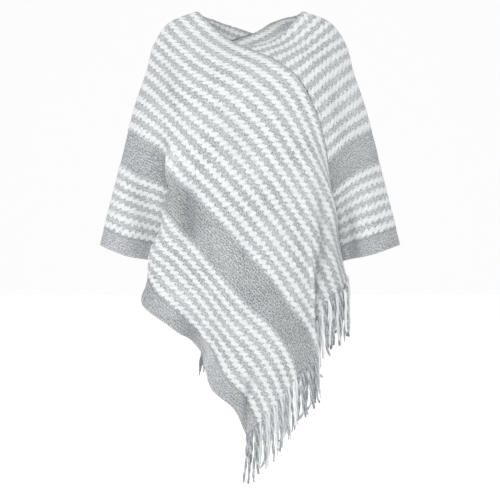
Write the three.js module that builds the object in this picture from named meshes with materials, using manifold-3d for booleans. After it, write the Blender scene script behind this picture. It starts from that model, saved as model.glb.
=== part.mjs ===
// Knitted poncho sweater, as worn.
//
// It is cut as two identical striped rectangles. The short end of each one is sewn to the long top
// edge of the other, so the free first part of both top edges becomes the neck, one rectangle
// makes the front and one sleeve, and the other makes the back and the other sleeve.
// The free short ends are fringed, and hang as a point at the front and a point at the back.
//
// Units are millimetres, +Z is up, the front faces -Y, and +X is to the right seen from the front.
// The origin lies midway between the two places where the neck rests on the shoulders.

import * as THREE from 'three';
import Module from 'manifold-3d';

const wasm = await Module();
wasm.setup();

// The cut of one panel. "Along" runs with the stripes from the sewn short end to the fringe,
// and "across" runs from the top edge to the hem.
const PANEL_WIDTH = 520;
const NECK_EDGE = 290;
const PANEL_LENGTH = NECK_EDGE + PANEL_WIDTH;
const WALL = 3;
const SEAM_GAP = 0.8;

// Steps of the wall across a panel, and along the neck edge. Both sides of a seam share them.
const WIDTH_STEPS = 24;
const NECK_STEPS = 13;

// The seam opens a little towards the neck, where the panels twist most, and the last stretch
// of the neck edge is drawn in by as much.
const NECK_OPENING = 0.8;
const OPENING_LENGTH = 50;
const NECK_EASE = 25;

// The fringe.
const STRANDS = 66;
const FRINGE_FROM = 8;
const STRAND_RADIUS = 2.3;
const STRAND_LENGTH = 94;
const STRAND_UNEVEN = 7;
const STRAND_RHYTHM = 2.3;
const STRAND_REACH = 10;
const STRAND_STAGGER = 3;
const STRAND_SIDES = 3;
const STRAND_ROOT = 4;
const STRIP_WIDTH = 6;
const STRIP_WALL = 2.4;
const STRIP_GAP = 0.7;

// Shares of a strand's length and reach at each step of its path.
const STRAND_STEPS = [
  { fallen: 0, reached: 0 },
  { fallen: 0.06, reached: 0.8 },
  { fallen: 0.3, reached: 1 },
  { fallen: 0.65, reached: 1 },
  { fallen: 1, reached: 1 },
];

// How the back hangs: the nape is higher than the front V, and the lower back is narrower,
// its spare width taken up by soft upright folds.
const BACK = {
  rise: 60,
  riseDepth: 110,
  collarLift: 20,
  collarDepth: 90,
  collarWidth: 70,
  collarFade: 60,
  gatherFrom: 50,
  gatherDepth: 50,
  gatherTop: -330,
  gatherDrop: 260,
  gatherShare: 0.75,
  gatherMiddle: 40,
  foldPitch: 110,
  foldShift: 18,
  foldDepth: 20,
};

// Lines of the knitting: how far across the panel each one lies.
const LINES = {
  neck: 0, yoke: 62, chest: 125, rib: 187, waist: 240, bandTop: 290, bandFoot: 362, skirt: 440,
  hem: 520,
};

// Where each line passes at each section of the panel, worn. A section's "along" is its distance
// from the sewn end: 150 is the shoulder and the outside of the sleeve, 290 is the bottom of the
// front V, 290 to 410 turn under at the crook of the arm, and 810 is the fringed end.
const SECTIONS = [
  {
    along: 75,
    neck: [-51, 45, -60], yoke: [-100, 66, -77], chest: [-140, 80, -106],
    rib: [-165, 82, -161], waist: [-185, 76, -213], bandTop: [-195, 70, -259],
    bandFoot: [-209, 66, -327], skirt: [-223, 64, -404], hem: [-237, 58, -486],
  },
  {
    along: 150,
    neck: [-104, 0, 0], yoke: [-158, 0, -22], chest: [-190, 0, -66],
    rib: [-206, 0, -124], waist: [-225, 0, -179], bandTop: [-240, 0, -232],
    bandFoot: [-258, 0, -306], skirt: [-278, 0, -384], hem: [-299, 0, -466],
  },
  {
    along: 220,
    neck: [-51, -45, -54], yoke: [-122, -55, -64], chest: [-159, -56, -101],
    rib: [-179, -59, -151], waist: [-200, -62, -198], bandTop: [-211, -59, -251],
    bandFoot: [-223, -55, -331], skirt: [-234, -58, -405], hem: [-241, -50, -489],
  },
  {
    along: 290,
    neck: [-6, -80, -83], yoke: [-72, -90, -105], chest: [-116, -98, -143],
    rib: [-145, -104, -189], waist: [-157, -99, -238], bandTop: [-164, -76, -286],
    bandFoot: [-163, -62, -358], skirt: [-170, -62, -425], hem: [-175, -58, -497],
  },
  {
    along: 320,
    neck: [21, -90, -94], yoke: [-46, -100, -120], chest: [-93, -108, -160],
    rib: [-125, -113, -208], waist: [-139, -110, -258], bandTop: [-156, -86, -306],
    bandFoot: [-145, -54, -376], skirt: [-146, -46, -437], hem: [-148, -44, -496],
  },
  {
    along: 350,
    neck: [46, -100, -107], yoke: [-20, -109, -134], chest: [-68, -117, -176],
    rib: [-104, -120, -228], waist: [-121, -118, -280], bandTop: [-141, -102, -333],
    bandFoot: [-165, -84, -389], skirt: [-153, -50, -445], hem: [-132, -35, -503],
  },
  {
    along: 410,
    neck: [92, -111, -143], yoke: [29, -119, -169], chest: [-21, -127, -214],
    rib: [-59, -127, -265], waist: [-80, -127, -323], bandTop: [-102, -119, -370],
    bandFoot: [-146, -109, -428], skirt: [-192, -91, -478], hem: [-190, -76, -539],
  },
  {
    along: 470,
    neck: [121, -116, -195], yoke: [68, -125, -213], chest: [21, -131, -256],
    rib: [-19, -131, -306], waist: [-42, -134, -363], bandTop: [-63, -130, -411],
    bandFoot: [-107, -122, -468], skirt: [-156, -112, -516], hem: [-210, -102, -576],
  },
  {
    along: 550,
    neck: [145, -106, -271], yoke: [109, -126, -282], chest: [68, -134, -319],
    rib: [31, -136, -365], waist: [10, -141, -422], bandTop: [-13, -140, -468],
    bandFoot: [-57, -134, -526], skirt: [-102, -124, -572], hem: [-153, -112, -625],
  },
  {
    along: 630,
    neck: [155, -82, -348], yoke: [146, -119, -351], chest: [111, -132, -386],
    rib: [75, -138, -425], waist: [57, -147, -480], bandTop: [38, -149, -524],
    bandFoot: [-6, -145, -583], skirt: [-53, -136, -634], hem: [-94, -118, -672],
  },
  {
    along: 700,
    neck: [157, -48, -409], yoke: [169, -84, -412], chest: [144, -120, -447],
    rib: [111, -132, -480], waist: [98, -146, -535], bandTop: [78, -151, -579],
    bandFoot: [42, -150, -628], skirt: [-10, -148, -687], hem: [-74, -146, -740],
  },
  {
    along: 760,
    neck: [161, -26, -460], yoke: [176, -62, -466], chest: [171, -100, -497],
    rib: [133, -111, -529], waist: [120, -119, -580], bandTop: [110, -143, -625],
    bandFoot: [74, -146, -674], skirt: [23, -148, -731], hem: [-29, -148, -782],
  },
  {
    along: 810,
    neck: [165, -15, -502], yoke: [183, -50, -515], chest: [188, -86, -550],
    rib: [151, -96, -573], waist: [126, -96, -621], bandTop: [128, -128, -667],
    bandFoot: [90, -138, -718], skirt: [44, -138, -776], hem: [-6, -132, -834],
  },
];

const COLOURS = { front: 0xd4d8da, back: 0xc9cdd0, fringe: 0xeceff0 };

function halfTurn([x, y, z]) {
  return [-x, -y, z];
}

// A smooth curve through points at uneven stations (a cubic Hermite spline).
function through(stations, points, at) {
  const last = stations.length - 1;
  const steepness = (i, axis) => (
    (points[i + 1][axis] - points[i][axis]) / (stations[i + 1] - stations[i]));
  const slope = (i, axis) => {
    if (i === 0) return steepness(0, axis);
    if (i === last) return steepness(last - 1, axis);
    const before = stations[i] - stations[i - 1];
    const after = stations[i + 1] - stations[i];
    return (steepness(i - 1, axis) * after + steepness(i, axis) * before) / (before + after);
  };
  let i = 0;
  while (i < last - 1 && at > stations[i + 1]) i += 1;
  const span = stations[i + 1] - stations[i];
  const u = (at - stations[i]) / span;
  const start = 2 * u ** 3 - 3 * u ** 2 + 1;
  const leave = u ** 3 - 2 * u ** 2 + u;
  const arrive = u ** 3 - u ** 2;
  return [0, 1, 2].map((axis) => (
    start * points[i][axis] + (1 - start) * points[i + 1][axis]
    + span * (leave * slope(i, axis) + arrive * slope(i + 1, axis))));
}

const ACROSS = Object.values(LINES);
const ALONG = [0, ...SECTIONS.map((section) => section.along)];

// The sewn end lies on the other panel's top edge, past its neck edge, half a turn round.
const topEdge = SECTIONS.map((section) => section.neck);
const nape = halfTurn(SECTIONS.find((section) => section.along === NECK_EDGE).neck);
const sewnEnd = ACROSS.map((across) => (
  halfTurn(through(ALONG, [nape, ...topEdge], NECK_EDGE + across))));
const LINE_POINTS = Object.keys(LINES).map((line, i) => (
  [sewnEnd[i], ...SECTIONS.map((section) => section[line])]));

function smoothStep(value) {
  const u = THREE.MathUtils.clamp(value, 0, 1);
  return u * u * (3 - 2 * u);
}

// The rise of the nape and of the back of the neck edge, and the lower back's folds, which leave
// the front as it is.
function hang([x, y, z]) {
  const gathered = smoothStep((y - BACK.gatherFrom) / BACK.gatherDepth)
    * smoothStep((BACK.gatherTop - z) / BACK.gatherDrop);
  const across = x + gathered * (BACK.gatherShare - 1) * (x - BACK.gatherMiddle);
  const wave = Math.sin(2 * Math.PI * (across - BACK.foldShift) / BACK.foldPitch);
  const nearNeck = 1 - smoothStep((Math.abs(x) - BACK.collarWidth) / BACK.collarFade);
  const behind = THREE.MathUtils.clamp(y / BACK.collarDepth, 0, 1);
  const lifted = nearNeck * Math.sin(Math.PI * behind) ** 2;
  return new THREE.Vector3(
    across,
    y + gathered * BACK.foldDepth * wave,
    z + BACK.rise * smoothStep(y / BACK.riseDepth) + BACK.collarLift * lifted,
  );
}

// The middle of the cloth of one panel. The back panel is the front one, half a turn round.
function clothOf(isBack) {
  return (along, across) => {
    const crossing = LINE_POINTS.map((points) => through(ALONG, points, along));
    const point = through(ACROSS, crossing, across);
    return hang(isBack ? halfTurn(point) : point);
  };
}

function directions(cloth, along, across) {
  const step = 1;
  const forward = cloth(along + step, across).sub(cloth(along - step, across)).normalize();
  const down = cloth(along, across + step).sub(cloth(along, across - step)).normalize();
  const outward = new THREE.Vector3().crossVectors(down, forward).normalize();
  return { forward, outward };
}

const WIDTH_STATIONS = Array.from(
  { length: WIDTH_STEPS + 1 },
  (_, i) => PANEL_WIDTH * i / WIDTH_STEPS,
);
const LENGTH_STATIONS = [
  ...Array.from({ length: NECK_STEPS }, (_, i) => NECK_EDGE * i / NECK_STEPS),
  ...WIDTH_STATIONS.map((across) => NECK_EDGE + across),
];

// How far the two walls keep from a seam line, so that they just miss each other at whatever
// angle the panels meet there. The near points are taken square to the seam.
function seamTrim(across) {
  const front = clothOf(false);
  const back = clothOf(true);
  const seamAt = (place) => front(NECK_EDGE + place, 0);
  const tangent = seamAt(across + 1).sub(seamAt(across - 1)).normalize();
  const squareTo = (point) => {
    const into = point.sub(seamAt(across));
    return into.addScaledVector(tangent, -into.dot(tangent));
  };
  const near = 6;
  const top = squareTo(front(NECK_EDGE + across, near));
  const sewn = squareTo(back(near, across));
  const half = top.angleTo(sewn) / 2;
  const gap = SEAM_GAP + NECK_OPENING * Math.max(0, 1 - across / OPENING_LENGTH);
  const clear = gap / 2 / Math.sin(half) + WALL / 2 / Math.tan(half);
  return { top: clear * near / top.length(), sewn: clear * near / sewn.length() };
}

function trimmed(along, across) {
  if (along === 0) return [seamTrim(across).sewn, across];
  const pastNeck = along - NECK_EDGE;
  if (across === 0 && pastNeck > -NECK_EASE) return [along, seamTrim(Math.max(pastNeck, 0)).top];
  return [along, across];
}

// A closed wall of even thickness on both sides of the cloth's middle. The ends that meet at a
// seam are split along the same diagonals, so that they stay apart where the cloth twists.
function wallMesh(cloth, alongStations, acrossStations, thickness) {
  const rows = alongStations.length;
  const columns = acrossStations.length;
  const outer = [];
  const inner = [];
  alongStations.forEach((nominalAlong) => acrossStations.forEach((nominalAcross) => {
    const [along, across] = trimmed(nominalAlong, nominalAcross);
    const middle = cloth(along, across);
    const { outward } = directions(cloth, along, across);
    outer.push(...middle.clone().addScaledVector(outward, thickness / 2).toArray());
    inner.push(...middle.clone().addScaledVector(outward, -thickness / 2).toArray());
  }));
  const out = (i, j) => i * columns + j;
  const back = (i, j) => rows * columns + out(i, j);
  const faces = [];
  const quad = (a, b, c, d) => faces.push(a, b, c, a, c, d);
  for (let i = 0; i < rows - 1; i += 1) {
    for (let j = 0; j < columns - 1; j += 1) {
      quad(out(i, j), out(i, j + 1), out(i + 1, j + 1), out(i + 1, j));
      quad(back(i, j), back(i + 1, j), back(i + 1, j + 1), back(i, j + 1));
    }
    quad(out(i + 1, 0), back(i + 1, 0), back(i, 0), out(i, 0));
    const edge = columns - 1;
    quad(out(i + 1, edge), out(i, edge), back(i, edge), back(i + 1, edge));
  }
  for (let j = 0; j < columns - 1; j += 1) {
    const end = rows - 1;
    quad(out(0, j + 1), out(0, j), back(0, j), back(0, j + 1));
    quad(out(end, j + 1), back(end, j + 1), back(end, j), out(end, j));
  }
  return { points: [...outer, ...inner], faces };
}

// The path of one strand: out of the strip along the cloth, then bending down and hanging.
function strandPath(cloth, index) {
  const across = THREE.MathUtils.lerp(FRINGE_FROM, PANEL_WIDTH, (index + 0.5) / STRANDS);
  const along = PANEL_LENGTH + STRIP_GAP + STRAND_ROOT;
  const share = across / PANEL_WIDTH * WIDTH_STEPS;
  const station = Math.floor(share);
  const root = cloth(along, WIDTH_STATIONS[station])
    .lerp(cloth(along, WIDTH_STATIONS[station + 1]), share - station);
  const { forward, outward } = directions(cloth, PANEL_LENGTH, across);
  const side = (index % 2 === 0 ? 1 : -1) * STRAND_STAGGER;
  const length = STRAND_LENGTH + STRAND_UNEVEN * Math.sin(STRAND_RHYTHM * index);
  return STRAND_STEPS.map(({ fallen, reached }) => {
    const point = root.clone()
      .addScaledVector(forward, STRAND_REACH * reached)
      .addScaledVector(outward, side * reached);
    point.z -= length * fallen;
    return point;
  });
}

// A closed strand of a few flat sides along a path that mostly falls.
function strandMesh(path) {
  const points = [];
  const faces = [];
  path.forEach((centre, i) => {
    const next = path[Math.min(i + 1, path.length - 1)];
    const previous = path[Math.max(i - 1, 0)];
    const ahead = next.clone().sub(previous).normalize();
    const right = new THREE.Vector3(0, 1, 0).cross(ahead).normalize();
    const front = ahead.clone().cross(right);
    for (let k = 0; k < STRAND_SIDES; k += 1) {
      const angle = 2 * Math.PI * k / STRAND_SIDES;
      const rim = centre.clone()
        .addScaledVector(right, STRAND_RADIUS * Math.cos(angle))
        .addScaledVector(front, STRAND_RADIUS * Math.sin(angle));
      points.push(...rim.toArray());
    }
  });
  const at = (i, k) => i * STRAND_SIDES + (k % STRAND_SIDES);
  for (let i = 0; i < path.length - 1; i += 1) {
    for (let k = 0; k < STRAND_SIDES; k += 1) {
      faces.push(at(i, k), at(i, k + 1), at(i + 1, k + 1));
      faces.push(at(i, k), at(i + 1, k + 1), at(i + 1, k));
    }
  }
  const end = path.length - 1;
  for (let k = 1; k < STRAND_SIDES - 1; k += 1) {
    faces.push(at(0, 0), at(0, k + 1), at(0, k));
    faces.push(at(end, 0), at(end, k), at(end, k + 1));
  }
  return { points, faces };
}

function solid({ points, faces }) {
  return new wasm.Manifold(new wasm.Mesh({
    numProp: 3,
    vertProperties: new Float32Array(points),
    triVerts: new Uint32Array(faces),
  }));
}

function named(name, { points, faces }, colour) {
  const geometry = new THREE.BufferGeometry();
  geometry.setAttribute('position', new THREE.Float32BufferAttribute(points, 3));
  geometry.setIndex(faces);
  geometry.computeVertexNormals();
  const material = new THREE.MeshStandardMaterial({ color: colour, roughness: 0.95, metalness: 0 });
  const mesh = new THREE.Mesh(geometry, material);
  mesh.name = name;
  return mesh;
}

function panel(name, isBack, colour) {
  const wall = wallMesh(clothOf(isBack), LENGTH_STATIONS, WIDTH_STATIONS, WALL);
  return named(name, wall, colour);
}

// The strip that carries the strands, a hair clear of the panel's end, and its strands.
function fringe(name, isBack) {
  const cloth = clothOf(isBack);
  const start = PANEL_LENGTH + STRIP_GAP;
  const strip = wallMesh(cloth, [start, start + STRIP_WIDTH], WIDTH_STATIONS, STRIP_WALL);
  let body = solid(strip);
  for (let index = 0; index < STRANDS; index += 1) {
    body = body.add(solid(strandMesh(strandPath(cloth, index))));
  }
  const { vertProperties, triVerts } = body.getMesh();
  const mesh = { points: Array.from(vertProperties), faces: Array.from(triVerts) };
  return named(name, mesh, COLOURS.fringe);
}

const poncho = new THREE.Group();
poncho.add(panel('front_panel', false, COLOURS.front));
poncho.add(panel('back_panel', true, COLOURS.back));
poncho.add(fringe('front_fringe', false));
poncho.add(fringe('back_fringe', true));

export default poncho;
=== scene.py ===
# %% [markdown]
# # A knitted poncho sweater
#
# The garment is two equal rectangles of chunky striped knit. The short end of each one is sewn
# to the long top edge of the other, which leaves a V neck in the middle, wraps each rectangle
# over one arm as a wide sleeve, and lets the other short ends hang as two fringed points.
#
# This lesson drapes the two rectangles from a small table of sections, gives them the relief
# and the colours of the knit, and hangs the yarn of the fringe from their free ends.

# %% Load the frame
import math
import random

import bpy
import numpy as np
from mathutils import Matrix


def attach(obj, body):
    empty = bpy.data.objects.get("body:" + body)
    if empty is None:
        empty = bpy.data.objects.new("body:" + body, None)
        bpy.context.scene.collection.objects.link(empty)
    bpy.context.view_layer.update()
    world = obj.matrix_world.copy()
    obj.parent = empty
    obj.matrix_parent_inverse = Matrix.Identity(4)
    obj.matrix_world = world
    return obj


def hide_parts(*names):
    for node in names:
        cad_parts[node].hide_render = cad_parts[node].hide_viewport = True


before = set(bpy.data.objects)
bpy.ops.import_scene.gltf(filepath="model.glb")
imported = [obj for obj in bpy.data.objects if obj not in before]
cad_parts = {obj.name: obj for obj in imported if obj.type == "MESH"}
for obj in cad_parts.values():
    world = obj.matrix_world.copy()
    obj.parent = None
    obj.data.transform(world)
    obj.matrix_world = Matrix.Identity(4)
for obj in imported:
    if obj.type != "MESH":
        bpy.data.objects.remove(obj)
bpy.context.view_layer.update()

bpy.ops.object.select_all(action="DESELECT")
print("solids:", ", ".join(sorted(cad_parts)))

# %% [markdown]
# ## The camera
#
# The picture looks straight at the front from the height of the waist. A long lens from three
# metres away keeps the sleeves and the fringe at the same scale. One metre fits in the frame.

# %% Camera
VIEW_DISTANCE = 3.0
VIEW_HEIGHT = -0.476
VIEW_WIDTH = 1.0
SENSOR = 36.0

bpy.ops.object.camera_add(
    location=(0, -VIEW_DISTANCE, VIEW_HEIGHT), rotation=(math.radians(90), 0, 0)
)
camera = bpy.context.object
camera.data.sensor_width = SENSOR
camera.data.lens = SENSOR * VIEW_DISTANCE / VIEW_WIDTH
bpy.context.scene.camera = camera
bpy.context.scene.view_settings.view_transform = "Standard"
print("lens:", round(camera.data.lens), "mm")

# %% [markdown]
# ## The cut and how it hangs
#
# Lengths in the tables are in millimetres, as on a knitter's chart. "Along" runs with the
# stripes from the sewn end to the fringe, and "across" runs from the neck edge to the hem.
# Each section says where nine lines of the knitting pass when the garment is worn.
# 150 along is the shoulder and the outside of the sleeve, 290 the bottom of the front V,
# 290 to 410 turn under at the crook of the arm, and 810 is the fringed end.

# %% Tables of the cut
MM = 0.001
PANEL_WIDTH = 520
NECK_EDGE = 290
PANEL_LENGTH = NECK_EDGE + PANEL_WIDTH

LINES = {
    "neck": 0, "yoke": 62, "chest": 125, "rib": 187, "waist": 240,
    "band_top": 290, "band_foot": 362, "skirt": 440, "hem": 520,
}

SECTIONS = {
    75: dict(
        neck=(-51, 45, -60), yoke=(-100, 66, -77), chest=(-140, 80, -106),
        rib=(-165, 82, -161), waist=(-185, 76, -213), band_top=(-195, 70, -259),
        band_foot=(-209, 66, -327), skirt=(-223, 64, -404), hem=(-237, 58, -486)),
    150: dict(
        neck=(-104, 0, 0), yoke=(-158, 0, -22), chest=(-190, 0, -66),
        rib=(-206, 0, -124), waist=(-225, 0, -179), band_top=(-240, 0, -232),
        band_foot=(-258, 0, -306), skirt=(-278, 0, -384), hem=(-299, 0, -466)),
    220: dict(
        neck=(-51, -45, -54), yoke=(-122, -55, -64), chest=(-159, -56, -101),
        rib=(-179, -59, -151), waist=(-200, -62, -198), band_top=(-211, -59, -251),
        band_foot=(-223, -55, -331), skirt=(-234, -58, -405), hem=(-241, -50, -489)),
    290: dict(
        neck=(-6, -80, -83), yoke=(-72, -90, -105), chest=(-116, -98, -143),
        rib=(-145, -104, -189), waist=(-157, -99, -238), band_top=(-164, -76, -286),
        band_foot=(-163, -62, -358), skirt=(-170, -62, -425), hem=(-175, -58, -497)),
    320: dict(
        neck=(21, -90, -94), yoke=(-46, -100, -120), chest=(-93, -108, -160),
        rib=(-125, -113, -208), waist=(-139, -110, -258), band_top=(-156, -86, -306),
        band_foot=(-145, -54, -376), skirt=(-146, -46, -437), hem=(-148, -44, -496)),
    350: dict(
        neck=(46, -100, -107), yoke=(-20, -109, -134), chest=(-68, -117, -176),
        rib=(-104, -120, -228), waist=(-121, -118, -280), band_top=(-141, -102, -333),
        band_foot=(-165, -84, -389), skirt=(-153, -50, -445), hem=(-132, -35, -503)),
    410: dict(
        neck=(92, -111, -143), yoke=(29, -119, -169), chest=(-21, -127, -214),
        rib=(-59, -127, -265), waist=(-80, -127, -323), band_top=(-102, -119, -370),
        band_foot=(-146, -109, -428), skirt=(-192, -91, -478), hem=(-190, -76, -539)),
    470: dict(
        neck=(121, -116, -195), yoke=(68, -125, -213), chest=(21, -131, -256),
        rib=(-19, -131, -306), waist=(-42, -134, -363), band_top=(-63, -130, -411),
        band_foot=(-107, -122, -468), skirt=(-156, -112, -516), hem=(-210, -102, -576)),
    550: dict(
        neck=(145, -106, -271), yoke=(109, -126, -282), chest=(68, -134, -319),
        rib=(31, -136, -365), waist=(10, -141, -422), band_top=(-13, -140, -468),
        band_foot=(-57, -134, -526), skirt=(-102, -124, -572), hem=(-153, -112, -625)),
    630: dict(
        neck=(155, -82, -348), yoke=(146, -119, -351), chest=(111, -132, -386),
        rib=(75, -138, -425), waist=(57, -147, -480), band_top=(38, -149, -524),
        band_foot=(-6, -145, -583), skirt=(-53, -136, -634), hem=(-94, -118, -672)),
    700: dict(
        neck=(157, -48, -409), yoke=(169, -84, -412), chest=(144, -120, -447),
        rib=(111, -132, -480), waist=(98, -146, -535), band_top=(78, -151, -579),
        band_foot=(42, -150, -628), skirt=(-10, -148, -687), hem=(-74, -146, -740)),
    760: dict(
        neck=(161, -26, -460), yoke=(176, -62, -466), chest=(171, -100, -497),
        rib=(133, -111, -529), waist=(120, -119, -580), band_top=(110, -143, -625),
        band_foot=(74, -146, -674), skirt=(23, -148, -731), hem=(-29, -148, -782)),
    810: dict(
        neck=(165, -15, -502), yoke=(183, -50, -515), chest=(188, -86, -550),
        rib=(151, -96, -573), waist=(126, -96, -621), band_top=(128, -128, -667),
        band_foot=(90, -138, -718), skirt=(44, -138, -776), hem=(-6, -132, -834)),
}

print(len(SECTIONS), "sections of", len(LINES), "lines")

# %% [markdown]
# ## A smooth sheet through the sections
#
# A sculptor would push the cloth about by hand. Here a smooth curve goes through each line's
# points, and a second one goes across the lines, so a few dozen points give the whole drape and
# the pattern of the knit can follow the cloth exactly. The sewn end has no section of its own:
# it lies on the other panel's top edge, half a turn round.

# %% Curves through the sections
def through(stations, points, places):
    """Points of smooth curves at some places along them. The first axis runs along the curves."""
    stations = np.asarray(stations, float)
    points = np.asarray(points, float)
    spans = np.diff(stations).reshape((-1,) + (1,) * (points.ndim - 1))
    steep = np.diff(points, axis=0) / spans
    slopes = np.empty_like(points)
    slopes[0] = steep[0]
    slopes[-1] = steep[-1]
    slopes[1:-1] = (steep[:-1] * spans[1:] + steep[1:] * spans[:-1]) / (spans[1:] + spans[:-1])
    i = np.clip(np.searchsorted(stations, places, side="right") - 1, 0, len(stations) - 2)
    u = ((places - stations[i]) / np.diff(stations)[i]).reshape((-1,) + (1,) * (points.ndim - 1))
    start = 2 * u**3 - 3 * u**2 + 1
    leave = u**3 - 2 * u**2 + u
    arrive = u**3 - u**2
    return (
        start * points[i] + (1 - start) * points[i + 1]
        + spans[i] * (leave * slopes[i] + arrive * slopes[i + 1])
    )


ACROSS = list(LINES.values())
ALONG = [0, *SECTIONS]
HALF_TURN = np.array([-1, -1, 1])

top_edge = [SECTIONS[along]["neck"] for along in SECTIONS]
nape = HALF_TURN * SECTIONS[NECK_EDGE]["neck"]
sewn_end = HALF_TURN * through(ALONG, [nape, *top_edge], np.array(ACROSS) + NECK_EDGE)
line_points = np.array([
    [sewn_end[i], *(SECTIONS[along][line] for along in SECTIONS)]
    for i, line in enumerate(LINES)
])
print("sewn end runs from", sewn_end[0].round(), "to", sewn_end[-1].round())


# %% [markdown]
# ## The hang of the back
#
# The picture doesn't show the back. It hangs as the front does, half a turn round, but the nape
# stands higher than the throat, and low at the back the cloth gathers into soft upright folds.
# Both are moved in with smooth steps from nothing at the front, so that no edge shows between.

# %% The hang of the back
BACK = dict(
    rise=60, rise_depth=110, collar_lift=20, collar_depth=90, collar_width=70,
    collar_fade=60, gather_from=50, gather_depth=50, gather_top=-330,
    gather_drop=260, gather_share=0.75, gather_middle=40,
    fold_pitch=110, fold_shift=18, fold_depth=20,
)


def smooth_step(value):
    u = np.clip(value, 0, 1)
    return u * u * (3 - 2 * u)


def hang(points):
    """The nape's rise and the lower back's soft upright folds, with the front left as it is."""
    x, y, z = np.moveaxis(points, -1, 0)
    gathered = smooth_step((y - BACK["gather_from"]) / BACK["gather_depth"])
    gathered = gathered * smooth_step((BACK["gather_top"] - z) / BACK["gather_drop"])
    x = x + gathered * (BACK["gather_share"] - 1) * (x - BACK["gather_middle"])
    wave = np.sin(2 * math.pi * (x - BACK["fold_shift"]) / BACK["fold_pitch"])
    y_moved = y + gathered * BACK["fold_depth"] * wave
    from_collar = np.abs(points[..., 0]) - BACK["collar_width"]
    near_neck = 1 - smooth_step(from_collar / BACK["collar_fade"])
    lifted = near_neck * np.sin(math.pi * np.clip(y / BACK["collar_depth"], 0, 1)) ** 2
    z = z + BACK["rise"] * smooth_step(y / BACK["rise_depth"]) + BACK["collar_lift"] * lifted
    return np.stack([x, y_moved, z], axis=-1)


def cloth(is_back, along, across):
    """The middle of the cloth, in millimetres, for every pair of places along and across."""
    lines = through(ALONG, np.moveaxis(line_points, 1, 0), np.asarray(along, float))
    points = through(ACROSS, np.moveaxis(lines, 1, 0), np.asarray(across, float))
    points = np.moveaxis(points, 1, 0)
    return hang(points * HALF_TURN if is_back else points)


def outward(points):
    """The direction out of the garment at each point of a grid of the cloth."""
    forward = np.gradient(points, axis=0)
    down = np.gradient(points, axis=1)
    normal = np.cross(down, forward)
    return normal / np.linalg.norm(normal, axis=-1, keepdims=True)


front_corner = cloth(False, [PANEL_LENGTH], [PANEL_WIDTH])[0, 0]
print("front point hangs at", front_corner.round(), "mm")

# %% [markdown]
# ## The knit
#
# From a step away the cloth is not flat: the white stripes are rows of plump slanted stitches
# that bite into the grey between them like saw teeth, and the grey stripes are a chain of small
# square puffs. The plain bands are a finer, flatter knit. One chart says where the stripes lie,
# and both the relief of the mesh and the colours of the material read it, so that they agree.

# %% The chart of the stripes
PITCH = 24.5
STRIPES = dict(
    upper=dict(start=2.25, pitch=PITCH, end=296.25),
    lower=dict(start=357.5, pitch=21.7, end=487.7),
)
STITCH = 13.0
SLANT = 0.81


def chart(along, across):
    """How far each place is from its stripe's middle, as in a stripe of the full pitch, whether
    it is striped, and the wave of the stitches."""
    distance = np.full(across.shape, PITCH / 2)
    striped = np.zeros(across.shape)
    for stripe in STRIPES.values():
        inside = (across > stripe["start"]) & (across < stripe["end"])
        offset = np.abs((across - stripe["start"]) % stripe["pitch"] - stripe["pitch"] / 2)
        distance = np.where(inside, offset * PITCH / stripe["pitch"], distance)
        striped = striped + inside
    wave = 0.5 + 0.5 * np.cos(2 * math.pi * (along + SLANT * across) / STITCH)
    return distance, striped, wave


print("stitches along a stripe:", round(PANEL_LENGTH / STITCH))

# %% [markdown]
# ## The relief of the knit
#
# A plump stitch catches the light on its top and keeps a shade beside it, which a flat sheet
# can't do. Each stripe gets a round hump along its middle, higher for white than for grey, and
# the white one swells with every stitch. It is a height over the cloth, so it can be added
# square to the cloth wherever the drape turns.

# %% The relief
WHITE_NARROW = 3.6
WHITE_TOOTH = 6.0
HUMP_EDGE = 1.0
PUFF = 1.7
PUFF_LEAST = 0.6
GREY_PUFF = 0.9


def hump(distance, half_width):
    """The height of a round hump: 1 along its middle and 0 just past its edge."""
    return np.sqrt(np.clip(1 - (distance / (half_width + HUMP_EDGE)) ** 2, 0, 1))


def relief(along, across):
    """The height of the knit over the cloth, in millimetres."""
    distance, striped, wave = chart(along, across)
    reach = WHITE_NARROW + WHITE_TOOTH * wave
    white = PUFF * hump(distance, reach) * (PUFF_LEAST + (1 - PUFF_LEAST) * wave)
    grey = GREY_PUFF * hump(PITCH / 2 - distance, PITCH / 2 - reach)
    return np.maximum(white, grey) * striped


print("half of a white stripe:", WHITE_NARROW, "to", WHITE_NARROW + WHITE_TOOTH, "mm")

# %% [markdown]
# ## Creases
#
# Cloth that has been worn keeps soft troughs and ridges. Each one here runs along its own short
# path on the flat panel, given as places along and across, and no two are alike in length, width
# or depth. The front has the sharp ridge near its free end, with the cloth falling back beside
# it, the dip where the plain band turns under at the crook of the arm, with the cloth standing
# out before it, and the fold and the bulge of its hem band. The back and the hidden side of each
# sleeve have theirs. Sculpting would do as well, but a path can be read and moved.

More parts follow.
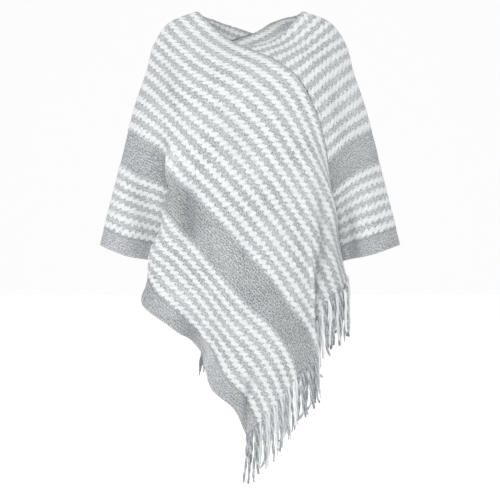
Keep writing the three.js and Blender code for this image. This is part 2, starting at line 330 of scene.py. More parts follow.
# %% Table of the creases
CREASES = dict(
    front=[
        dict(path=[(590, 108), (644, 143), (700, 184), (742, 228), (775, 276), (840, 312)],
             width=8, lift=5.5),
        dict(path=[(600, 78), (664, 104), (716, 140), (760, 190), (790, 236), (850, 270)],
             width=15, lift=-12.0),
        dict(path=[(362, 288), (396, 308), (424, 328), (466, 370)], width=21, lift=-13.0),
        dict(path=[(326, 240), (322, 284), (323, 330), (326, 410)], width=14, lift=9.0),
        dict(path=[(668, 560), (650, 498), (616, 484), (596, 460), (584, 404)],
             width=12, lift=8.0),
        dict(path=[(610, 560), (586, 500), (560, 494), (540, 462)], width=13, lift=-9.0),
        dict(path=[(818, 540), (796, 516), (764, 488), (748, 470), (716, 424)],
             width=9, lift=-9.0),
        dict(path=[(704, 30), (736, 84), (780, 120), (870, 170)], width=36, lift=-7.0),
        dict(path=[(470, 250), (540, 286), (600, 330), (650, 392)], width=20, lift=-3.0),
        dict(path=[(440, 322), (520, 326), (640, 332)], width=29, lift=6.0),
        dict(path=[(350, 118), (420, 156), (500, 186)], width=24, lift=-2.5),
        dict(path=[(206, 122), (262, 164), (312, 216)], width=20, lift=-3.0),
        dict(path=[(214, 340), (238, 410), (254, 470), (262, 600)], width=28, lift=-9.0),
        dict(path=[(176, 330), (190, 396), (196, 470)], width=16, lift=2.5),
        dict(path=[(92, 190), (80, 262), (88, 330)], width=18, lift=-3.0),
        dict(path=[(48, 540), (60, 470), (52, 392)], width=13, lift=-4.5),
    ],
    back=[
        dict(path=[(30, 590), (38, 506), (40, 440), (34, 380)], width=13, lift=-9.0),
        dict(path=[(60, 500), (88, 448), (104, 380)], width=14, lift=2.5),
        dict(path=[(66, 160), (56, 240), (64, 316)], width=18, lift=-3.0),
        dict(path=[(20, 316), (78, 328), (160, 330)], width=27, lift=5.0),
        dict(path=[(232, 118), (258, 176), (300, 236)], width=19, lift=-3.5),
        dict(path=[(226, 380), (250, 440), (246, 540)], width=15, lift=-4.0),
        dict(path=[(570, 128), (640, 160), (690, 196), (745, 240), (840, 300)],
             width=10, lift=3.5),
        dict(path=[(590, 92), (665, 124), (716, 164), (800, 226)], width=16, lift=-6.0),
        dict(path=[(372, 296), (408, 318), (436, 352)], width=15, lift=-6.0),
        dict(path=[(650, 540), (634, 470), (622, 412)], width=12, lift=3.5),
        dict(path=[(462, 290), (520, 350), (560, 424)], width=20, lift=-3.5),
        dict(path=[(340, 128), (420, 176), (480, 190)], width=24, lift=-2.5),
    ],
)

print("creases:", {side: len(rows) for side, rows in CREASES.items()})

# %% [markdown]
# ## How a crease lifts the cloth
#
# A crease is deepest half way along its path and fades out to both ends and to both sides. So
# each place of the cloth looks for the nearest point of the path, and takes its lift from how far
# away that point is and how far along the path it lies.

# %% The lift of the creases
def nearest_on_path(path, along, across):
    """How far each place is from a path, and how far along it the nearest point lies, 0 to 1."""
    steps = np.diff(path, axis=0)
    lengths = np.linalg.norm(steps, axis=1)
    passed = np.concatenate([[0], np.cumsum(lengths)])
    nearest = np.full(along.shape, np.inf)
    share = np.zeros(along.shape)
    for start, step, length, before in zip(path, steps, lengths, passed):
        u = ((along - start[0]) * step[0] + (across - start[1]) * step[1]) / length**2
        u = np.clip(u, 0, 1)
        away = np.hypot(along - start[0] - u * step[0], across - start[1] - u * step[1])
        share = np.where(away < nearest, (before + u * length) / passed[-1], share)
        nearest = np.minimum(nearest, away)
    return nearest, share


def creased(creases, along, across):
    """How far the creases lift the cloth, in millimetres."""
    lift = np.zeros(along.shape)
    for crease in creases:
        nearest, share = nearest_on_path(np.array(crease["path"], float), along, across)
        fade = np.exp(-(nearest / crease["width"]) ** 2)
        lift += crease["lift"] * np.sin(math.pi * share) * fade
    return lift


crook = creased(CREASES["front"], np.array([400.0]), np.array([312.0]))[0]
print("the crook of the arm lies", round(-crook, 1), "mm deep")

# %% [markdown]
# ## The two panels
#
# Each panel starts as a flat grid, one step for every three millimetres or so, which is fine
# enough for the stitches. Close rows at both edges keep the round of the edge. The grid's own UV
# map is set to the place on the flat panel in metres, and it stays with the cloth when the grid
# is laid over the drape.

# %% The flat grid
STEPS_ALONG = 236
STEPS_ACROSS = 190
EDGE_ROWS = [0.1, 0.9, 2.2]
GRID_SIZE = 2


def stations(length, steps):
    """Places from edge to edge, with close rows at both edges for their round."""
    edge = np.array(EDGE_ROWS)
    inner = np.linspace(edge[-1], length - edge[-1], steps + 1 - 2 * (len(edge) - 1))
    return np.concatenate([edge[:-1], inner, (length - edge[:-1])[::-1]])


along_rows = stations(PANEL_LENGTH, STEPS_ALONG)
across_rows = stations(PANEL_WIDTH, STEPS_ACROSS)
grid_along, grid_across = np.meshgrid(along_rows, across_rows, indexing="ij")


def flat_grid(name):
    """A grid with the chart as its UV map, and the row and the column of each vertex."""
    bpy.ops.mesh.primitive_grid_add(
        x_subdivisions=STEPS_ACROSS, y_subdivisions=STEPS_ALONG, size=GRID_SIZE
    )
    grid = bpy.context.object
    grid.name = name
    flat = np.empty(len(grid.data.vertices) * 3)
    grid.data.vertices.foreach_get("co", flat)
    shares = flat.reshape(-1, 3) / GRID_SIZE + 0.5
    row = np.rint(shares[:, 1] * STEPS_ALONG).astype(int)
    column = np.rint(shares[:, 0] * STEPS_ACROSS).astype(int)

    corners = np.empty(len(grid.data.loops), int)
    grid.data.loops.foreach_get("vertex_index", corners)
    places = np.stack([along_rows[row[corners]], across_rows[column[corners]]], axis=-1) * MM
    grid.data.uv_layers[0].data.foreach_set("uv", places.ravel())
    return grid, row, column


print("rows and columns:", grid_along.shape)

# %% [markdown]
# ## Shade and soft edges
#
# The colour gets painted shade where the cloth lies deep and a painted highlight where a ridge
# stands out, so an attribute tells the material how deep each place lies. The same attribute
# paints shade on the seam at the sewn end, most of all in the nape, where it shows as a line
# inside the neck. A vertex group thins the thickness at the free edges, so that they come out
# soft and rounded, as a selvedge is.

# %% Depth and thickness
DEEPEST = 14.0
SEAM_SHADE = dict(front=1.9, back=0.0)
SEAM_REACH = 2.6
SEAM_AT_NAPE = 2.4
NAPE_REACH = 60.0
THIN = 0.3
BODY = 0.8


def depth(side, lift):
    """Painted shade: 1 at the bottom of the deepest trough, more in a seam; below 0 on a ridge, a
    painted highlight.
    """
    reach = SEAM_REACH + SEAM_AT_NAPE * np.exp(-(grid_across / NAPE_REACH) ** 2)
    seam = SEAM_SHADE[side] * np.exp(-(grid_along / reach) ** 2)
    return np.clip(-lift / DEEPEST, -1, 1) + seam


def thickness_group(panel, row, column):
    """A vertex group with the share of the full thickness, less at the free edges."""
    from_top = np.where(grid_along < NECK_EDGE, grid_across, PANEL_WIDTH)
    from_bottom = np.minimum(PANEL_LENGTH - grid_along, PANEL_WIDTH - grid_across)
    from_edge = np.minimum(from_bottom, from_top)
    shares = THIN + (BODY - THIN) * np.sqrt(np.clip(from_edge / EDGE_ROWS[-1], 0, 1))
    shares = shares.round(2)
    group = panel.vertex_groups.new(name="thickness")
    for share in np.unique(shares):
        here = np.nonzero(shares[row, column] == share)[0]
        group.add(here.tolist(), float(share), "REPLACE")
    return group


print("darkest seam:", depth("front", np.zeros(grid_along.shape)).max().round(2))

# %% [markdown]
# ## Draping
#
# The grid is laid over the drape, then pushed out square to the cloth by the creases and by the
# relief. Solidify gives it the thickness of the knit. It is used in place of a second surface
# by hand, since it keeps the two faces of the cloth the same distance apart everywhere.

# %% Panels
THICKNESS = 3.2


def triangles(piece):
    return sum(len(face.vertices) - 2 for face in piece.data.polygons)


def draped_panel(name, side):
    panel, row, column = flat_grid(name)
    lift = creased(CREASES[side], grid_along, grid_across)
    points = cloth(side == "back", along_rows, across_rows)
    points = points + outward(points) * lift[..., None]
    points = points + outward(points) * relief(grid_along, grid_across)[..., None]
    panel.data.vertices.foreach_set("co", (points[row, column] * MM).ravel())
    # This attribute paints shade on the colour in troughs and at the seam, and a painted
    # highlight on ridges.
    painted_shade_and_highlight = panel.data.attributes.new("painted_shade_and_highlight", "FLOAT", "POINT")
    painted_shade_and_highlight.data.foreach_set("value", depth(side, lift)[row, column])

    solidify = panel.modifiers.new("knit", "SOLIDIFY")
    solidify.thickness = THICKNESS * MM
    solidify.offset = 0
    solidify.vertex_group = thickness_group(panel, row, column).name
    bpy.ops.object.modifier_apply(modifier=solidify.name)
    bpy.ops.object.shade_smooth()
    print(name, "triangles:", triangles(panel))
    return panel


front_panel = draped_panel("front_panel_knit", "front")
back_panel = draped_panel("back_panel_knit", "back")

# %% [markdown]
# ## One straight strand
#
# The fringe is soft thick yarn of two plies twisted together. One straight length of it is
# modelled by extruding a ring again and again. Every strand is a copy of it with its own mesh,
# so all of them have the same rings to bend, thin and twist.

# %% One straight strand
STRAND_RINGS = 18
STRAND_SIDES = 10

bpy.ops.mesh.primitive_circle_add(vertices=STRAND_SIDES, radius=1, fill_type="NGON")
yarn = bpy.context.object
yarn.name = "yarn"
bpy.ops.object.mode_set(mode="EDIT")
for _ in range(STRAND_RINGS):
    bpy.ops.mesh.extrude_region_move(TRANSFORM_OT_translate={"value": (0, 0, 1)})
bpy.ops.mesh.select_all(action="SELECT")
bpy.ops.mesh.normals_make_consistent(inside=False)
bpy.ops.object.mode_set(mode="OBJECT")
yarn.data.attributes.new("whiteness", "FLOAT", "POINT")
yarn.data.attributes.new("groove", "FLOAT", "POINT")
places = np.empty(len(yarn.data.vertices) * 3)
yarn.data.vertices.foreach_get("co", places)
places = places.reshape(-1, 3)
ring = np.rint(places[:, 2]).astype(int)
turn = np.arctan2(places[:, 1], places[:, 0])
print("strand rings:", ring.max() + 1, "vertices:", len(places))

# %% [markdown]
# ## The way a strand hangs
#
# A yarn end leaves the cloth's edge straight ahead, bends over and hangs down, and it sways a
# little on the way. A few curl at the end. At each panel's point the strands fan out, and seven
# at the back swing aside, so that their ends, darkened with painted shade, show below the front's
# hem as a small tuft.
# The draws come from a fixed seed, so the fringe is the same on every run.

# %% The path of a strand
STRANDS = 66
STRAND_LENGTH = 96
LENGTH_SHARES = (0.84, 1.06)
STRAND_REACH = 7
REACH_RATE = 9
LAYER_STEP = 3.0
SLOW_START = 0.1
LEAN = 3.0
WAVE_SIDEWAYS = dict(size=2.2, turns=6)
WAVE_DEEP = dict(size=2.0, turns=5)
WAVE_SHIFT = 3
CURLED = 0.2
CURL = (7, 15)
CURL_FROM = 0.72
CURL_LIFT = 0.5
FANNED = 9
FAN_STEP = 1.3
FAN_WAY = dict(front=-1, back=1)
STRAYS = dict(front={}, back={36: -13, 37: -16, 38: -19, 39: -20, 40: -20, 41: -26, 42: -24})
STRAY_LENGTH = 100

draw = random.Random(11)
fallen = np.linspace(0, 1, STRAND_RINGS + 1)


def swaying(lean, shift, size, turns):
    """How far a strand sways on its way down, in millimetres, for two draws from -1 to 1."""
    return fallen * (LEAN * lean + size * np.sin(turns * fallen + WAVE_SHIFT * shift))


def strand_path(side, index, root, forward, out):
    """The middle of each ring of a strand, in millimetres."""
    length = STRAND_LENGTH * draw.uniform(*LENGTH_SHARES)
    sway = [draw.uniform(-1, 1) for _ in range(4)]
    curl = draw.uniform(*CURL) * draw.choice((-1, 1)) if draw.random() < CURLED else 0
    stray = STRAYS[side].get(index, 0)
    if stray:
        length = STRAY_LENGTH
    layer = (index % 3 - 1) * LAYER_STEP
    ahead = 1 - np.exp(-REACH_RATE * fallen)
    path = root + np.outer(ahead, forward * STRAND_REACH + out * layer)
    path[:, 2] -= length * fallen * (1 - SLOW_START * (1 - fallen))
    path[:, 0] += swaying(sway[0], sway[1], **WAVE_SIDEWAYS)
    path[:, 1] += swaying(sway[2], sway[3], **WAVE_DEEP)
    fan = FAN_STEP * max(0, index - STRANDS + FANNED)
    path[:, 0] += (stray + fan * FAN_WAY[side]) * np.sqrt(fallen)
    end = np.clip((fallen - CURL_FROM) / (1 - CURL_FROM), 0, 1) ** 2
    path[:, 0] += curl * end
    path[:, 2] += abs(curl) * CURL_LIFT * end
    return path


print("strands on each side:", STRANDS, "strays:", len(STRAYS["back"]))

# %% [markdown]
# ## The yarn round its path
#
# White yarn leaves the end of a white stripe, and grey yarn leaves the rest, so each strand asks
# the chart for its colour. It keeps it as an attribute: 1 for white, 0 for grey and less than 0
# for painted shade on a dark end. The rings are thinner to the tip, where some strands are
# frayed, and the twist of the two plies runs round them as a groove, which the material darkens
# as painted shade.

# %% The thickness and the colour of a strand
YARN_RADIUS = 3.1
RADIUS_SHARES = (0.75, 1.05)
WHITE_PLUMP = 0.18
TIP_RADIUS = 0.8
TIP_RINGS = 2
FRAYED = (0.45, 1.0)
PLY_DEPTH = 0.24
PLY_TURNS = 3.5
PLY_START = (0, 6)
WHITE_HALF = 6.8
WHITE_SHARES = (0.6, 1.0)
# Painted shade on the ends of some strands and on the lower half of the strays.
PAINTED_SHADE_TIP_SHARE = 0.4
END_PAINTED_SHADE = (0.2, 0.9)
STRAY_PAINTED_SHADE = 0.35


def whiteness_at(across):
    distance, _, _ = chart(np.zeros(1), np.array([across]))
    return float(distance[0] < WHITE_HALF)


def ring_radii(whiteness):
    radius = YARN_RADIUS * draw.uniform(*RADIUS_SHARES) * (1 + WHITE_PLUMP * whiteness)
    radius = radius * np.linspace(1.0, TIP_RADIUS, STRAND_RINGS + 1)
    radius[-TIP_RINGS:] *= draw.uniform(*FRAYED)
    return radius


def ring_frames(path):
    """Two directions square to the path at each ring."""
    ahead = np.gradient(path, axis=0)
    ahead /= np.linalg.norm(ahead, axis=1, keepdims=True)
    right = np.cross([0, 1, 0], ahead)
    right /= np.linalg.norm(right, axis=1, keepdims=True)
    return right, np.cross(ahead, right)


# The yarn's whiteness, with painted shade on the ends of some strands and on the lower half of
# the strays.
def strand_colour_and_shade(whiteness, is_stray):
    colour = np.full(len(ring), whiteness * draw.uniform(*WHITE_SHARES))
    if draw.random() < PAINTED_SHADE_TIP_SHARE:
        colour[ring > STRAND_RINGS - TIP_RINGS] = -draw.uniform(*END_PAINTED_SHADE)
    if is_stray:
        colour[ring > STRAND_RINGS / 2] = -STRAY_PAINTED_SHADE
    return colour


def hung_strand(name, side, index, across, root, forward, out):
    path = strand_path(side, index, root, forward, out)
    right, front = ring_frames(path)
    whiteness = whiteness_at(across)
    radius = ring_radii(whiteness)
    twist = 2 * turn + 2 * math.pi * PLY_TURNS * ring / STRAND_RINGS + draw.uniform(*PLY_START)
    size = (radius[ring] * (1 + PLY_DEPTH * np.cos(twist)))[:, None]
    points = path[ring] + size * (
        np.cos(turn)[:, None] * right[ring] + np.sin(turn)[:, None] * front[ring]
    )
    mesh = yarn.data.copy()
    mesh.vertices.foreach_set("co", (points * MM).ravel())
    colour = strand_colour_and_shade(whiteness, index in STRAYS[side])
    mesh.attributes["whiteness"].data.foreach_set("value", colour)
    # The groove of the twist, which the material darkens as painted shade.
    mesh.attributes["groove"].data.foreach_set("value", 0.5 - 0.5 * np.cos(twist))
    strand = bpy.data.objects.new(f"{name}_{index}", mesh)
    bpy.context.collection.objects.link(strand)
    return strand


print("yarn:", 2 * YARN_RADIUS, "mm thick,", PLY_TURNS, "turns of its plies")

# %% [markdown]
# ## The fringe
#
# The strands sit side by side in the cloth's free end, a hair inside it, and each one starts in
# the direction that the cloth has there. They are joined, since they are one piece to sew.

# %% Strands hung from the free ends
ROOT_INSIDE = 2
ROOT_STEP = 4


def unit(vectors):
    return vectors / np.linalg.norm(vectors, axis=1, keepdims=True)


def hung_fringe(name, side):
    across = (np.arange(STRANDS) + 0.5) * (PANEL_WIDTH / STRANDS)
    rooted = PANEL_LENGTH - ROOT_INSIDE
    inner, roots = cloth(side == "back", [rooted - ROOT_STEP, rooted], across)
    forward = unit(roots - inner)
    out = unit(np.cross(np.gradient(roots, axis=0), forward))
    strands = [
        hung_strand(name, side, index, across[index], roots[index], forward[index], out[index])
        for index in range(STRANDS)
    ]
    bpy.ops.object.select_all(action="DESELECT")
    for strand in strands:
        strand.select_set(True)
    bpy.context.view_layer.objects.active = strands[0]
    bpy.ops.object.join()
    fringe = bpy.context.object
    fringe.name = name
    bpy.ops.object.mode_set(mode="EDIT")
    bpy.ops.mesh.select_all(action="SELECT")
    bpy.ops.mesh.normals_make_consistent(inside=False)
    bpy.ops.object.mode_set(mode="OBJECT")
    bpy.ops.object.shade_smooth()
    bpy.ops.object.select_all(action="DESELECT")
    print(name, "triangles:", triangles(fringe))
    return fringe


front_fringe = hung_fringe("front_fringe_yarn", "front")
back_fringe = hung_fringe("back_fringe_yarn", "back")
bpy.data.objects.remove(yarn)

# %% [markdown]
# ## Node helpers
#
# A stripe's colour has to follow the cloth wherever it drapes, and no picture of the knit is
# used, so the colours are worked out with nodes. These helpers add one node each and take
# either another node's socket or a plain number, which keeps a chain of them short to read.

# %% Node helpers
def new_material(name):
    material = bpy.data.materials.new(name)
    material.use_nodes = True
    tree = material.node_tree
    shader = tree.nodes["Principled BSDF"]
    return material, tree, shader


def connect(tree, socket, value):
    if isinstance(value, bpy.types.NodeSocket):
        tree.links.new(value, socket)
    else:
        socket.default_value = value


def maths(tree, operation, *values, clamp=False):
    node = tree.nodes.new("ShaderNodeMath")
    node.operation = operation
    node.use_clamp = clamp
    for socket, value in zip(node.inputs, values):
        connect(tree, socket, value)
    return node.outputs[0]


def weighted(tree, level, *terms, clamp=False):
    """A level with each term's socket times its weight added. The last sum may be clamped."""
    for number, (socket, weight) in enumerate(terms, 1):
        last = number == len(terms)
        level = maths(tree, "MULTIPLY_ADD", socket, weight, level, clamp=clamp and last)
    return level


MIX_FACTOR, MIX_FIRST, MIX_SECOND = 0, 6, 7
MIX_COLOUR = 2


def blend_colours(tree, factor, first, second):
    node = tree.nodes.new("ShaderNodeMix")
    node.data_type = "RGBA"
    connect(tree, node.inputs[MIX_FACTOR], factor)
    connect(tree, node.inputs[MIX_FIRST], first)
    connect(tree, node.inputs[MIX_SECOND], second)
    return node.outputs[MIX_COLOUR]


def noise(tree, vector, scale, detail=2.0):
    """Noise about zero, from -0.5 to 0.5."""
    node = tree.nodes.new("ShaderNodeTexNoise")
    connect(tree, node.inputs["Vector"], vector)
    node.inputs["Scale"].default_value = scale
    node.inputs["Detail"].default_value = detail
    return maths(tree, "SUBTRACT", node.outputs["Fac"], 0.5)


def attribute(tree, name):
    node = tree.nodes.new("ShaderNodeAttribute")
    node.attribute_name = name
    return node.outputs["Fac"]


print("a Mix node's sockets for colour:", MIX_FIRST, MIX_SECOND)

# %% [markdown]
# ## The wool's surface
#
# All of the garment is one kind of wool: rough, with little shine and a soft sheen where the
# eye grazes its fibres. Both materials share these values, and the fibres are raised as bump,
# since they are far too fine to model.

# %% Wool
WOOL = {
    "Roughness": 0.95,
    "Specular IOR Level": 0.15,
    "Sheen Weight": 0.15,
    "Sheen Roughness": 0.6,
}
# The wool's own white and grey. The darker white and grey hold its random mottle and painted
# shade, and the darkest grey is painted shade only.
WHITE = (0.885, 0.91, 0.915, 1)
WHITE_MOTTLE_AND_SHADE = (0.74, 0.77, 0.785, 1)
GREY = (0.67, 0.70, 0.715, 1)
GREY_MOTTLE_AND_SHADE = (0.25, 0.27, 0.285, 1)
PAINTED_SHADE_GREY = (0.17, 0.185, 0.195, 1)


def make_wool(tree, shader, colour, height, bump_depth, bump_strength):
    bump = tree.nodes.new("ShaderNodeBump")
    connect(tree, bump.inputs["Height"], height)
    bump.inputs["Distance"].default_value = bump_depth
    bump.inputs["Strength"].default_value = bump_strength
    connect(tree, shader.inputs["Normal"], bump.outputs["Normal"])
    connect(tree, shader.inputs["Base Color"], colour)
    for name, value in WOOL.items():
        shader.inputs[name].default_value = value


print("white", WHITE[:3], "grey", GREY[:3])

# %% [markdown]
# ## The chart in nodes
#
# The UV map holds the place on the flat panel in metres. A few nodes turn it to millimetres,
# wobble it a little, since no stitch is quite like the next, and repeat the chart of the
# stripes. Here the wave of the stitches is a zigzag and not a round wave, for pointed teeth.

# %% The chart in nodes
WOBBLE_ALONG = dict(scale=150, reach=10.0)
WOBBLE_ACROSS = dict(scale=210, reach=9.0)


def wobbled(tree, place, metres, scale, reach):
    shift = maths(tree, "MULTIPLY", noise(tree, place, scale), reach)
    return maths(tree, "MULTIPLY_ADD", metres, 1 / MM, shift)


def chart_nodes(tree, along, across):
    """The chart's distance, whether striped, and the wave, as sockets."""
    distance = PITCH / 2
    striped = 0.0
    for stripe in STRIPES.values():
        after = maths(tree, "GREATER_THAN", across, stripe["start"])
        before = maths(tree, "LESS_THAN", across, stripe["end"])
        inside = maths(tree, "MULTIPLY", after, before)
        from_start = maths(tree, "SUBTRACT", across, stripe["start"])
        local = maths(tree, "FLOORED_MODULO", from_start, stripe["pitch"])
        offset = maths(tree, "ABSOLUTE", maths(tree, "SUBTRACT", local, stripe["pitch"] / 2))
        change = weighted(tree, -PITCH / 2, (offset, PITCH / stripe["pitch"]))
        distance = maths(tree, "ADD", distance, maths(tree, "MULTIPLY", inside, change))
        striped = maths(tree, "ADD", striped, inside)
    slanted = maths(tree, "MULTIPLY_ADD", across, SLANT, along)
    zigzag = maths(tree, "PINGPONG", slanted, STITCH / 2)
    return distance, striped, weighted(tree, 1.0, (zigzag, -2 / STITCH))


print("stripes in nodes:", ", ".join(STRIPES))

# %% [markdown]
# ## The grey of the plain bands
#
# The plain bands are a finer knit: narrow ribs along them with slanted strokes between, and
# painted shade in the grooves between the ribs. The grey is a mottled wool, more so in the bands,
# and the hem band is calmer and darker. All of it is one number, the tone, that blends a dark
# grey into a light one.

# %% The tone of the grey
COLUMN = 2.6
COLUMN_SLOPE = -0.9
STROKE = 4.2
HEM_FROM = 484.0
HEM_CALM = 0.55
FINE = dict(level=0.26, strokes=0.34, groove=-0.75)
CONTRAST = dict(level=3.6, plain=2.2, hem=-5.6)
TONE = dict(level=0.68, hem=-0.26, patch=0.8)
PATCH_SCALE = 14
SPECK = dict(scale=330, detail=3.0)


def fine_knit(tree, along, across, rough):
    """The ribs and the strokes of the plain bands, with painted shade in the grooves between the
    ribs, as a part of the tone.
    """
    column = maths(tree, "PINGPONG", across, COLUMN)
    phase = maths(tree, "MULTIPLY", maths(tree, "ADD", along, column), 2 * math.pi / STROKE)
    strokes = maths(tree, "SINE", phase)
    groove = weighted(tree, 1.0, (column, COLUMN_SLOPE), clamp=True)
    return maths(tree, "MULTIPLY", rough, weighted(
        tree, FINE["level"], (strokes, FINE["strokes"]), (groove, FINE["groove"])))


def grey_tone(tree, place, across, striped, speck):
    """The mottled tone, and how rough the knit is: 1 in the plain bands, less at the hem."""
    plain = maths(tree, "SUBTRACT", 1.0, striped)
    hem = maths(tree, "MULTIPLY", maths(tree, "GREATER_THAN", across, HEM_FROM), HEM_CALM)
    contrast = weighted(
        tree, CONTRAST["level"], (plain, CONTRAST["plain"]), (hem, CONTRAST["hem"]))
    patch = noise(tree, place, PATCH_SCALE)
    tone = weighted(tree, TONE["level"], (hem, TONE["hem"]), (patch, TONE["patch"]))
    return weighted(tree, tone, (speck, contrast)), maths(tree, "SUBTRACT", plain, hem)


print("hem band from", HEM_FROM, "mm")

# %% [markdown]
# ## The striped knit
#
# The fibres fray the edge between white and grey, and painted shade dims the white stitches where
# one meets the next. Then the depth attribute has its turn: ridges get a painted highlight toward
# white, and troughs and the seam get painted shade. One material serves both panels.

# %% The striped knit
FIBRE = dict(scale=430, detail=2.5)
FRAY = 13.0
EDGE_SOFTNESS = 0.5
STITCH_LIGHT = dict(level=0.5, wave=0.55, fibre=2.6)
# Strengths of the painted highlight on ridges and of the painted shade in troughs and the seam.
CREST_LIGHT = 0.6
HOLLOW_SHADE = 0.42
KNIT_HEIGHT = dict(white=0.5, fibre=1.4)
KNIT_BUMP = (0.0024, 0.9)


def striped_knit(name):
    material, tree, shader = new_material(name)
    uv = tree.nodes.new("ShaderNodeUVMap")
    uv.uv_map = "UVMap"
    place = uv.outputs[0]
    parts = tree.nodes.new("ShaderNodeSeparateXYZ")
    tree.links.new(place, parts.inputs[0])
    along = wobbled(tree, place, parts.outputs[0], **WOBBLE_ALONG)
    across = wobbled(tree, place, parts.outputs[1], **WOBBLE_ACROSS)
    fibre = noise(tree, place, **FIBRE)
    speck = noise(tree, place, **SPECK)

    distance, striped, wave = chart_nodes(tree, along, across)
    reach = weighted(tree, WHITE_NARROW, (wave, WHITE_TOOTH))
    edge = weighted(tree, maths(tree, "SUBTRACT", reach, distance), (fibre, FRAY))
    white = weighted(tree, 0.5, (edge, EDGE_SOFTNESS), clamp=True)

    tone, rough = grey_tone(tree, place, across, striped, speck)
    fine = fine_knit(tree, along, across, rough)
    grey = blend_colours(tree, maths(tree, "ADD", tone, fine, clamp=True), GREY_MOTTLE_AND_SHADE, GREY)
    # Painted shade where one white stitch meets the next, broken by the fibres' random tone.
    painted_stitch_light_and_fibre = weighted(
        tree, STITCH_LIGHT["level"], (wave, STITCH_LIGHT["wave"]),
        (fibre, STITCH_LIGHT["fibre"]), clamp=True)
    pale = blend_colours(tree, painted_stitch_light_and_fibre, WHITE_MOTTLE_AND_SHADE, WHITE)

    painted_shade_and_highlight = attribute(tree, "painted_shade_and_highlight")
    # Painted shade: troughs and the seam blend toward the darkest grey. Painted highlight: ridges
    # blend toward white.
    shaded = maths(tree, "MULTIPLY", painted_shade_and_highlight, HOLLOW_SHADE, clamp=True)
    painted_highlight = maths(tree, "MULTIPLY", painted_shade_and_highlight, -CREST_LIGHT, clamp=True)
    knitted = blend_colours(tree, painted_highlight, blend_colours(tree, white, grey, pale), WHITE)
    colour = blend_colours(tree, shaded, knitted, PAINTED_SHADE_GREY)

    height = weighted(
        tree, maths(tree, "ADD", fine, speck),
        (white, KNIT_HEIGHT["white"]), (fibre, KNIT_HEIGHT["fibre"]))
    make_wool(tree, shader, colour, height, *KNIT_BUMP)
    print(name, "nodes:", len(tree.nodes))
    return material


knit = striped_knit("striped wool knit")

# %% [markdown]
# ## The fringe's yarn
#
# The yarn has the colours of the knit, blended by the attributes that each strand carries. It has
# painted shade in the groove between its plies and is pale on top of them, and its fibres break
# up both. The dark ends of some strands are painted shade.

# %% The fringe's yarn
YARN_FIBRE = dict(scale=380, detail=3.0)
YARN_LIGHT = dict(level=0.8, groove=-0.9, fibre=2.5)
YARN_BUMP = (0.0012, 0.7)


def fringe_yarn(name):
    material, tree, shader = new_material(name)
    place = tree.nodes.new("ShaderNodeTexCoord").outputs["Object"]
    whiteness = attribute(tree, "whiteness")
    fibre = noise(tree, place, **YARN_FIBRE)
    # Painted shade in the groove between the plies, broken by the fibres' random tone.
    lit = weighted(
        tree, YARN_LIGHT["level"], (attribute(tree, "groove"), YARN_LIGHT["groove"]),
        (fibre, YARN_LIGHT["fibre"]), clamp=True)
    grey = blend_colours(tree, lit, GREY_MOTTLE_AND_SHADE, GREY)
    pale = blend_colours(tree, lit, WHITE_MOTTLE_AND_SHADE, WHITE)
    # Whiteness above zero picks the pale yarn; below zero it is painted shade toward the darkest
    # grey.
    shown = maths(tree, "ADD", whiteness, 0.0, clamp=True)
    painted_tip_shade = maths(tree, "MULTIPLY", whiteness, -1.0, clamp=True)
    colour = blend_colours(tree, painted_tip_shade, blend_colours(tree, shown, grey, pale), PAINTED_SHADE_GREY)
    make_wool(tree, shader, colour, fibre, *YARN_BUMP)
    print(name, "nodes:", len(tree.nodes))
    return material


yarn_look = fringe_yarn("fringe yarn")

# %% [markdown]
# ## Dressing the pieces
#
# Each piece comes with no look of its own, so it is given one material and no more.

# %% Dress the pieces
for piece, look in (
    (front_panel, knit), (back_panel, knit), (front_fringe, yarn_look), (back_fringe, yarn_look)
):
    piece.data.materials.clear()
    piece.data.materials.append(look)
    print(piece.name, "wears", look.name)

# %% [markdown]
# ## The floor
#
# The picture is a bright cut-out on white. A white floor that glows a little gives that from any
# side, and it is attached to no body.

# %% Floor
FLOOR = -1.02
FLOOR_SIZE = 30
PAPER = (0.93, 0.93, 0.93, 1)
PAPER_ROUGHNESS = 0.9
PAPER_GLOW = 0.3
PURE_WHITE = (1, 1, 1, 1)

bpy.ops.mesh.primitive_plane_add(size=FLOOR_SIZE, location=(0, 0, FLOOR))
floor = bpy.context.object
floor.name = "floor"
paper, _, paper_shader = new_material("white paper")
paper_shader.inputs["Base Color"].default_value = PAPER
paper_shader.inputs["Roughness"].default_value = PAPER_ROUGHNESS
paper_shader.inputs["Emission Color"].default_value = PURE_WHITE
paper_shader.inputs["Emission Strength"].default_value = PAPER_GLOW
floor.data.materials.append(paper)
print("floor at", FLOOR, "m")

# %% [markdown]
# ## The sky
#
# The sky is near white behind the garment and softer in front of it, so that the background is
# white and the folds still have some shade. Its strength rises with the direction's depth.

# %% Sky
SKY_LEVEL = 0.76
SKY_SLOPE = 0.22

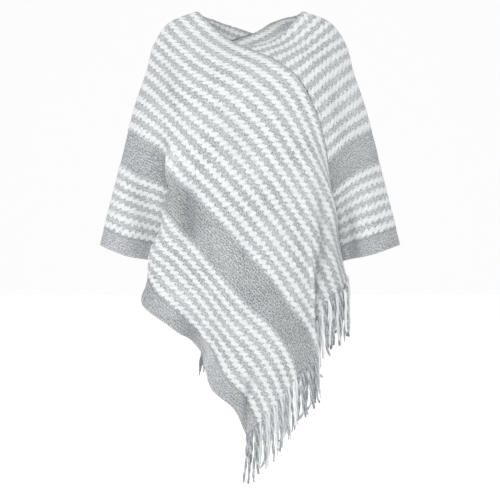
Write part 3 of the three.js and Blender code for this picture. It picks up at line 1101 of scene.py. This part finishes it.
world = bpy.context.scene.world or bpy.data.worlds.new("studio")
bpy.context.scene.world = world
world.use_nodes = True
sky = world.node_tree.nodes["Background"]
direction = world.node_tree.nodes.new("ShaderNodeTexCoord").outputs["Generated"]
split = world.node_tree.nodes.new("ShaderNodeSeparateXYZ")
world.node_tree.links.new(direction, split.inputs[0])
sky.inputs["Color"].default_value = PURE_WHITE
connect(world.node_tree, sky.inputs["Strength"], weighted(
    world.node_tree, SKY_LEVEL, (split.outputs[1], SKY_SLOPE)))
print("sky from", SKY_LEVEL - SKY_SLOPE, "to", SKY_LEVEL + SKY_SLOPE)

# %% [markdown]
# ## The lights
#
# One soft key light from the upper left leaves gentle shade in the folds, and a wide one stands
# behind for the back. The inside of the neck would be far darker than in the picture, so a
# small light inside the garment, just below the neck, lights only that.

# %% Lights
MIDDLE = (0, 0, -0.45)
LIGHTS = {
    "key light": dict(place=(-0.6, -2.5, 1.4), aim=MIDDLE, size=0.8, power=38),
    "neck light": dict(place=(0, -0.03, -0.13), aim=(0, 0.09, 0.0), size=0.1, power=0.14),
    "back light": dict(place=(0.4, 2.6, 1.2), aim=MIDDLE, size=1.6, power=20),
}


def soft_light(name, place, aim, size, power):
    bpy.ops.object.light_add(type="AREA", location=place)
    light = bpy.context.object
    light.name = name
    light.data.shape = "DISK"
    light.data.size = size
    light.data.energy = power
    toward = np.array(aim) - np.array(place)
    yaw = math.atan2(-toward[0], toward[1])
    pitch = math.atan2(toward[2], math.hypot(toward[0], toward[1]))
    light.rotation_euler = (math.pi / 2 + pitch, 0, yaw)
    light.visible_camera = False
    print(name, power, "W")


for name, settings in LIGHTS.items():
    soft_light(name, **settings)

# %% [markdown]
# ## What each piece is
#
# Every piece rides on the garment's one body and stands for its own solid.

# %% Roles of the pieces
for panel, fringe, side in (
    (front_panel, front_fringe, "front"), (back_panel, back_fringe, "back")
):
    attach(panel, "root")
    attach(fringe, "root")
    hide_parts(f"{side}_panel")
    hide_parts(f"{side}_fringe")
